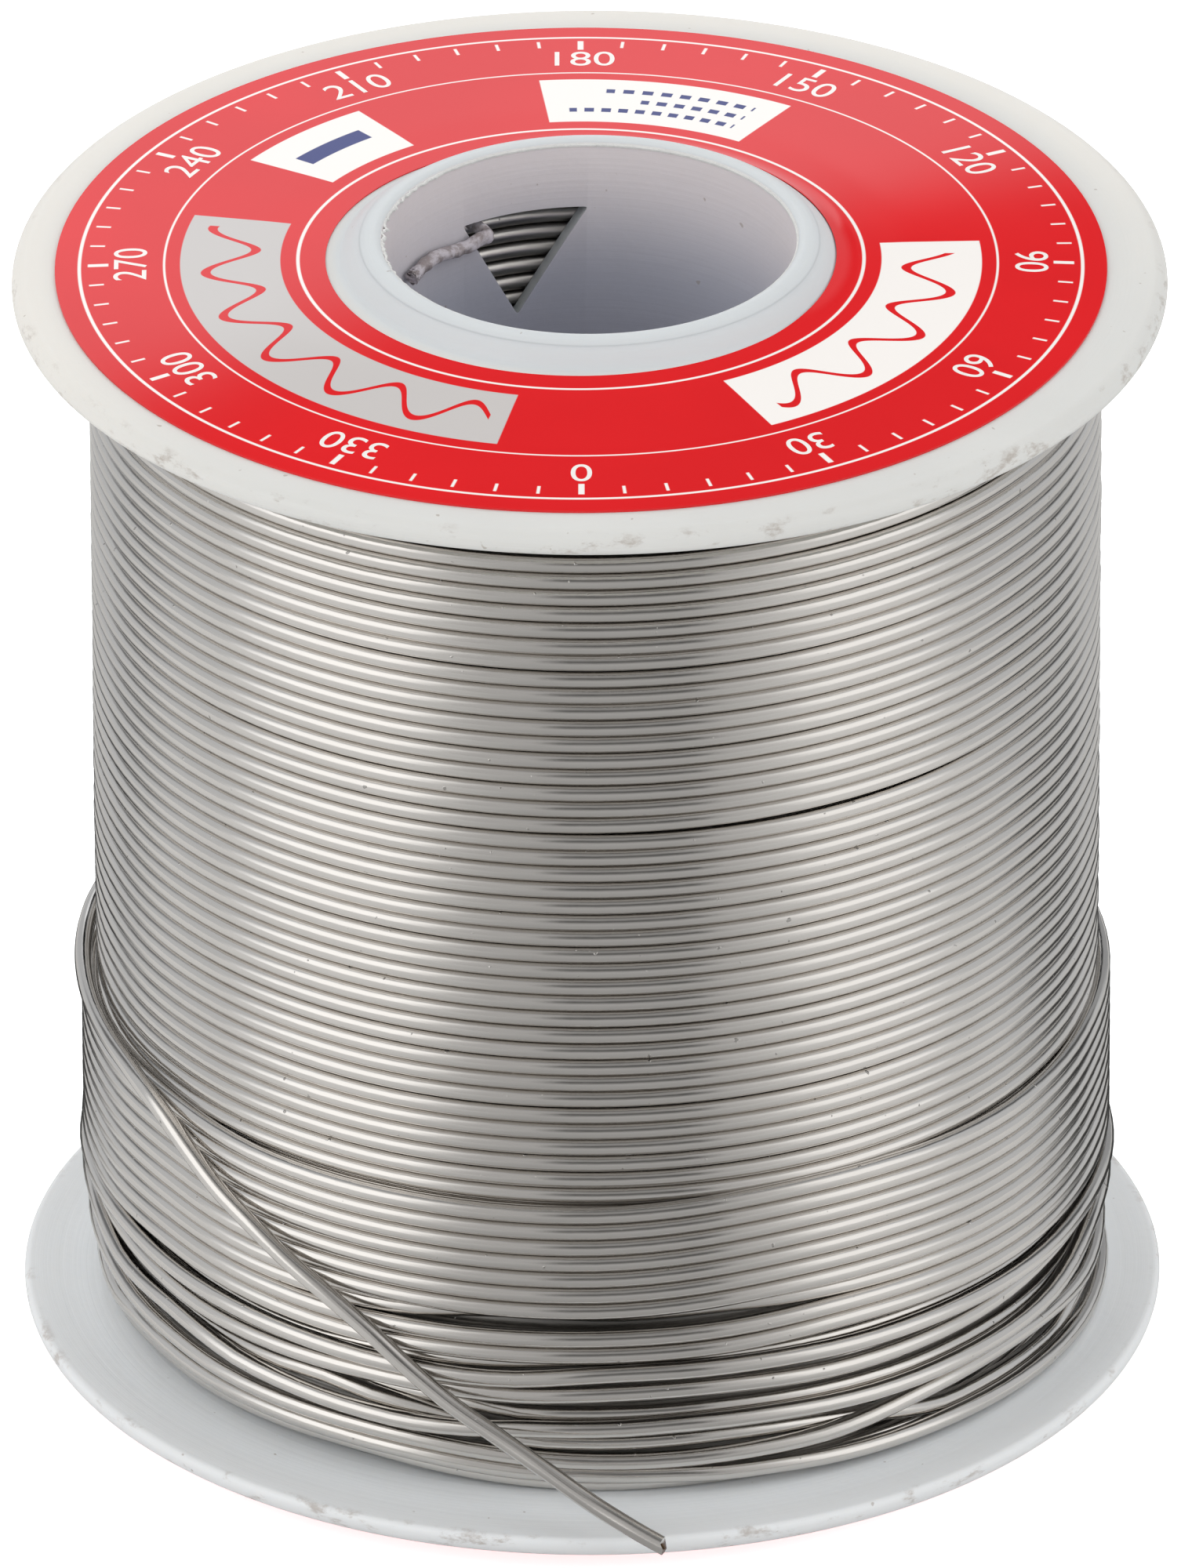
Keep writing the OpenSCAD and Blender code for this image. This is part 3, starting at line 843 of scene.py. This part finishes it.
class SPOOL_OT_flanges(bpy.types.Operator):
    """Adds both flanges with their collars"""
    bl_idname = "spool.flanges"
    bl_label = "Flanges"

    def execute(self, context):
        sizes, colours = sizes_and_colours()
        outer, seat = sizes.flange_radius / MM - 0.008, sizes.seat_radius / MM
        collar, low = sizes.collar_radius / MM, sizes.collar_low / MM
        rim, thick = sizes.rim_low / MM, sizes.rim_thickness / MM
        inside = rim + thick
        section = [(seat, inside), (13.0, inside), (18.0, inside), (22.0, inside)]
        section += arc(outer - 0.3, inside - 0.3, 0.3, 90, 0, 5)
        section += arc(outer - 0.7, rim + 0.7, 0.7, 0, -90, 8)
        section += [(r, rim - (outer - 0.7 - r) * DISH) for r in (22.0, 18.0, 13.0)]
        section += [(collar - 0.05, low), (collar - 0.17, low - 0.015), (collar - 0.27, low - 0.045)]
        section += [(r, collar_line(sizes, r)) for r in (10.9, 10.8, 10.7, 10.6, 10.5, 10.4, 10.3, 10.2, seat)]
        material = moulding_finish(colours)
        finish_piece(turned("moulded_flange_lower", section), material, ["lower_flange"])
        section = [(r, sizes.height / MM - z) for r, z in section]
        finish_piece(turned("moulded_flange_upper", section), material, ["upper_flange"])
        return {"FINISHED"}


# Rolled edge of the bore: distance out from its wall, height
BORE_EDGE = ((0.32, 0.0), (0.18, 0.045), (0.09, 0.11), (0.03, 0.21), (0.0, 0.34))
# Start window, outside and inside the barrel's wall: distance from the axis, corners across and up
WINDOW = (
    (12.0, ((-WINDOW_HALF, WINDOW_TOP), (0.344, 44.79), (4.265, WINDOW_TOP))),
    (8.0, ((-WINDOW_HALF, WINDOW_TOP), (-0.3, 46.0), (WINDOW_HALF, WINDOW_TOP))),
)
WINDOW_ROUNDING = 0.18 * MM


class SPOOL_OT_barrel(bpy.types.Operator):
    """Adds the barrel with its start window and the trim along the bore"""
    bl_idname = "spool.barrel"
    bl_label = "Barrel"

    def execute(self, context):
        sizes, colours = sizes_and_colours()
        bore, outside = sizes.bore_radius / MM, sizes.barrel_radius / MM
        seat, top = sizes.seat_radius / MM, sizes.height / MM
        inside = (sizes.rim_low + sizes.rim_thickness) / MM
        half = [(bore + out, z) for out, z in BORE_EDGE] + [(bore, 13.0), (bore, 26.6)]
        wall = [(r, collar_line(sizes, r)) for r in (9.5, 9.65, 9.8, 9.9, 10.0, seat)]
        wall += [(seat, inside), (outside, inside)]
        section = half + [(bore + 0.2, 27.0)] + [(r, top - z) for r, z in reversed(half)]
        section += [(r, top - z) for r, z in wall] + list(reversed(wall))
        barrel = turned("moulded_barrel", section)
        rest()
        bpy.ops.mesh.primitive_cylinder_add(vertices=3, radius=0.003, depth=0.006)
        cutter = context.object
        turn = Quaternion((0, 0, 1), math.radians(WINDOW_TURN))
        for k, vertex in enumerate(cutter.data.vertices):
            away, corners = WINDOW[k % 2]
            across, height = corners[k // 2]
            vertex.co = turn @ Vector((across, away, height)) * MM
        seal(cutter)
        edit(cutter)
        bpy.ops.mesh.bevel(offset=WINDOW_ROUNDING, segments=3, affect="EDGES")
        rest()
        cut = barrel.modifiers.new("window", "BOOLEAN")
        cut.operation, cut.solver, cut.object = "DIFFERENCE", "EXACT", cutter
        pick(barrel)
        bpy.ops.object.modifier_apply(modifier="window")
        soften(barrel)
        bpy.data.objects.remove(cutter)
        finish_piece(barrel, moulding_finish(colours, "barrel_moulding", True), ["barrel"])

        trim = self.ragged_trim(bore)
        finish_piece(trim, trim_finish(colours), ())
        return {"FINISHED"}

    @staticmethod
    def ragged_trim(bore):
        """Thin torn ring along the bore's upper edge, with its longest shreds at the left."""
        section = [(0.1, 53.7), (-0.005, 53.72), (-0.005, 53.8), (0.04, 53.87), (0.12, 53.86), (0.13, 53.78)]
        trim = turned("bore_trim", [(bore + out, height) for out, height in section], 960)
        for vertex in trim.data.vertices:
            angle = math.atan2(vertex.co.y, vertex.co.x)
            x, y = math.cos(angle), math.sin(angle)
            rough = noise.noise(Vector((x * 21, y * 21, 2.0)))
            rough += 0.6 * noise.noise(Vector((x * 70, y * 70, vertex.co.z * 4000)))
            left = max(0.0, -math.cos(angle + 0.15)) ** 8
            push = max(0.0, rough + 0.1) * (0.02 + 0.3 * left)
            vertex.co -= Vector((vertex.co.x, vertex.co.y, 0)).normalized() * push * MM
            vertex.co.z = min(vertex.co.z - push * 0.15 * MM, 53.99 * MM)
        return trim


# Numerals: their height, their distance from the dial's middle, half their depth and how far they stand out
NUMERAL_SIZE, NUMERAL_RADIUS = 2.1 * MM, 19.7 * MM
NUMERAL_DEPTH, NUMERAL_PROUD = 0.002 * MM, 0.003 * MM
# Share of a label's thickness at its hole, and how much that grows for each millimetre outwards
TAPER_START, TAPER = 0.5, 0.16


class SPOOL_OT_labels(bpy.types.Operator):
    """Adds a printed label with plain numerals to each end"""
    bl_idname = "spool.labels"
    bl_label = "Labels"

    def execute(self, context):
        sizes, colours = sizes_and_colours()
        hole, outer = sizes.label_hole / MM, sizes.label_radius / MM
        top = sizes.height / MM
        numerals = numeral_finish(colours)
        for end, upper in (("upper", True), ("lower", False)):
            radii = [hole + (outer - hole) * k / 24 for k in range(25)]
            section = [(r, 0.0) for r in radii] + [(r, 1.0) for r in reversed(radii)]
            label = turned("printed_label_" + end, section, 192, (-sizes.label_offset, -sizes.label_forward))
            for vertex in label.data.vertices:
                x, y, z = vertex.co
                low = self.face(sizes, math.hypot(x, y) / MM)
                if z > 0.5 * MM:
                    past_hole = math.hypot(x + sizes.label_offset, y + sizes.label_forward) / MM - hole
                    low -= min(1.0, TAPER_START + past_hole * TAPER) * sizes.label_thickness / MM
                vertex.co.z = (top - low if upper else low) * MM
            seal(label)
            soften(label)
            turn = 90.0 if upper else 200.0
            finish_piece(label, label_finish(colours, sizes, "print_" + end, turn), [end + "_label"])
            self.numbers(sizes, end, upper, numerals, turn)
        return {"FINISHED"}

    @staticmethod
    def face(sizes, away):
        """Height of the lower flange's outer face at a distance from the axis, and of the collar's foot."""
        return sizes.rim_low / MM - (24.7 - away) * DISH - max(0.0, 11.12 - away) * 0.75

    def numbers(self, sizes, end, upper, material, turn):
        """Plain numbers round the dial, each a thin mesh on the print."""
        parts = []
        for step in range(0, 360, 30):
            rest()
            bpy.ops.object.text_add()
            text = bpy.context.object
            text.data.body = str(step)
            text.data.align_x, text.data.align_y = "CENTER", "CENTER"
            text.data.size = NUMERAL_SIZE
            text.data.extrude = NUMERAL_DEPTH
            bpy.ops.object.convert(target="MESH")
            text = bpy.context.object
            angle = math.radians(step - turn)
            along = Vector((math.cos(angle), math.sin(angle)))
            across = Vector((along.y, -along.x)) if upper else Vector((-along.y, along.x))
            for vertex in text.data.vertices:
                x, y, thick = vertex.co
                spot = across * x + along * (y + NUMERAL_RADIUS) - Vector((sizes.label_offset, sizes.label_forward))
                low = self.face(sizes, spot.length / MM) * MM - sizes.label_thickness - NUMERAL_PROUD + thick
                vertex.co = (*spot, sizes.height - low if upper else low)
            parts.append(text)
        pick(*parts)
        bpy.ops.object.join()
        piece = bpy.context.object
        piece.name = "dial_numbers_" + end
        seal(piece)
        finish_piece(piece, material, ())


# Core of buried turns, in millimetres: it is thinner behind the crossing turns
CORE_RADIUS, CORE_THIN, CORE_STEP, CORE_HOLLOW = 21.12, 20.25, 9.4, 11.3
CORE_LOW, CORE_HIGH, CORE_TURNS, CORE_RIDGE = 2.56, 51.44, 61, 0.18
# First turns on the barrel, as far as the window shows them
FIRST_RADIUS, FIRST_LOW, FIRST_TURNS = 10.83, 43.6, 9
# Lowest height and pitch of the full layer
FULL_LOW, FULL_PITCH = 2.97, 0.8013
# The full layer is drawn from where the last one leaves it in sight
FULL_STEPS, FULL_FIRST, FULL_END = 120, 16 * 120, 7180
# Unevenness of its turns
WOBBLES, WOBBLES_A_TURN, WOBBLE_OUT, WOBBLE_UP = 400, 5, 0.025, 0.03
# Turns from the bottom of the full layer, and how far the wire has slipped upwards there
SLIPS, SLIP_WIDTH = ((41.82, 0.07), (40.82, -0.05)), 0.07
PARTED = [(56.9, 0.0), (57.7, 0.0), (58.0, 0.13), (58.3, 0.16), (60.0, 0.02)]
# How far each layer lies to the right of the axis, and the height of the lowest turn
FULL_SHIFT, LAST_SHIFT = 0.25, 0.2
LOWEST = 2.96


class SPOOL_OT_windings(bpy.types.Operator):
    """Adds the wound wire: the core of turns, the full layer and the last layer"""
    bl_idname = "spool.windings"
    bl_label = "Windings"

    def execute(self, context):
        sizes, colours = sizes_and_colours()
        rng = random.Random(5)
        solder = solder_finish(colours)
        dull_shaded = solder_finish(colours, "inner_solder", 0.2)

        section = []
        for k in range(CORE_TURNS):
            low = CORE_LOW + PITCH * k
            base = CORE_THIN if low < CORE_STEP else CORE_RADIUS
            section += [(base + CORE_RIDGE * math.sin(math.pi * t / 4), low + PITCH * t / 4) for t in range(4)]
        section += [(CORE_RADIUS, CORE_HIGH), (CORE_HOLLOW, CORE_HIGH), (CORE_HOLLOW, CORE_LOW)]
        core = turned("core_of_turns", section, 120)
        finish_piece(core, dull_shaded, ["buried_turns"])

        inner = [front_point(angle, FIRST_RADIUS, FIRST_LOW + PITCH * angle / 360)
                 for angle in range(0, FIRST_TURNS * 360 + 1, 5)]
        finish_piece(wires("first_turns", [inner], sizes.wire, 3), dull_shaded, ["buried_turns"])

        full = []
        wobble = [rng.uniform(-1, 1) for _ in range(WOBBLES)]
        for k in range(FULL_FIRST, FULL_END):
            turn = k / FULL_STEPS
            spot, part = divmod(turn * WOBBLES_A_TURN, 1)
            beat = wobble[int(spot)] * (1 - part) + wobble[int(spot) + 1] * part
            slip = smooth(PARTED, turn)[0] if turn > 57 else 0.0
            slip += sum(by * math.exp(-((turn - at) / SLIP_WIDTH) ** 2) for at, by in SLIPS)
            full.append(front_point(360 // FULL_STEPS * k + 90, sizes.full_radius / MM + WOBBLE_OUT * beat,
                                    FULL_LOW + FULL_PITCH * turn + WOBBLE_UP * beat + slip, FULL_SHIFT))
        finish_piece(wires("full_layer_turns", [full], sizes.wire), solder, ["full_layer"])

        last = []
        for angle in range(-180 - 360 * (CREST_TURNS - 1), FREE_START - 3, 3):
            height = crest(angle)
            if angle > 180:
                height += (FREE_TOP - crest(FREE_START)) * ((angle - 180) / (FREE_START - 180)) ** 2
            last.append(front_point(angle, sizes.last_radius / MM, height, LAST_SHIFT))
        runs = [last + [free_points()[0]]]
        for low, outs, ups in LOW_TURNS:
            places = [(angle, LOW_RADIUS + out / 100, (low + up) / 100)
                      for angle, out, up in zip(LOW_ANGLES, outs, ups)]
            runs.append([front_point(angle, *smooth(places, angle), LAST_SHIFT) for angle in range(-180, 181, 3)])
        tucked = [front_point(-220 + 4 * k, 20.5 + 2.0 * (k / 10) ** 1.3, LOWEST, LAST_SHIFT) for k in range(10)]
        runs[-1] = tucked + runs[-1]
        finish_piece(wires("last_layer_turns", runs, sizes.wire), solder, ["last_layer"])
        return {"FINISHED"}


class SPOOL_OT_start_tail(bpy.types.Operator):
    """Adds the inner end of the wire, which lies along the bore"""
    bl_idname = "spool.start_tail"
    bl_label = "Start of the wire"

    def execute(self, context):
        spots = [(START_ANGLE, r, START_HEIGHT) for r in START_RADII]
        spots += [(START_ANGLE + past, START_RADII[-1] - gap, START_HEIGHT - drop) for past, gap, drop in START_ROUTE]
        points = [front_point(*spot) for spot in spots]
        tail = wires("start_of_wire", [finer(points, 8)], START_WIRE, 6)
        edit(tail)
        bpy.ops.mesh.subdivide(number_cuts=1)
        rest()
        torn = points[-1]
        rng = random.Random(3)
        for vertex in tail.data.vertices:
            near = max(0.0, 1.0 - (vertex.co - torn).length / TORN_LENGTH)
            vertex.co += Vector([rng.uniform(-1, 1) for _ in range(3)]) * TORN_DEPTH * near
        cloud = bpy.data.textures.new("crumple", "CLOUDS")
        cloud.noise_scale = CRUMPLE_SCALE
        rough = tail.modifiers.new("crumple", "DISPLACE")
        rough.texture, rough.strength, rough.mid_level = cloud, CRUMPLE_DEPTH, 0.5
        pick(tail)
        bpy.ops.object.modifier_apply(modifier="crumple")
        finish_piece(tail, start_finish(), ["start_tail"])
        return {"FINISHED"}


class SPOOL_PT_panel(bpy.types.Panel):
    """Sidebar panel with the sizes, the colours and the pieces"""
    bl_idname = "SPOOL_PT_panel"
    bl_label = "Solder wire spool"
    bl_space_type = "VIEW_3D"
    bl_region_type = "UI"
    bl_category = "Spool"

    def draw(self, context):
        layout = self.layout
        for group in (context.scene.spool_sizes, context.scene.spool_colours):
            box = layout.box()
            for key in group.__annotations__:
                box.prop(group, key)
        for operator in OPERATORS:
            layout.operator(operator.bl_idname)


OPERATORS = (
    SPOOL_OT_stage, SPOOL_OT_free_end, SPOOL_OT_flanges, SPOOL_OT_barrel,
    SPOOL_OT_labels, SPOOL_OT_windings, SPOOL_OT_start_tail,
)
CLASSES = (SpoolSizes, SpoolColours, *OPERATORS, SPOOL_PT_panel)


def register():
    for kind in CLASSES:
        bpy.utils.register_class(kind)
    bpy.types.Scene.spool_sizes = bpy.props.PointerProperty(type=SpoolSizes)
    bpy.types.Scene.spool_colours = bpy.props.PointerProperty(type=SpoolColours)


def unregister():
    del bpy.types.Scene.spool_colours
    del bpy.types.Scene.spool_sizes
    for kind in reversed(CLASSES):
        bpy.utils.unregister_class(kind)


def main():
    register()
    scene = bpy.context.scene
    scene.view_settings.view_transform = "Standard"
    bpy.ops.spool.stage()
    bpy.ops.spool.free_end()
    bpy.ops.spool.flanges()
    bpy.ops.spool.barrel()
    bpy.ops.spool.labels()
    bpy.ops.spool.windings()
    bpy.ops.spool.start_tail()
    rest()
    bpy.context.view_layer.update()


if __name__ == "__main__":
    main()
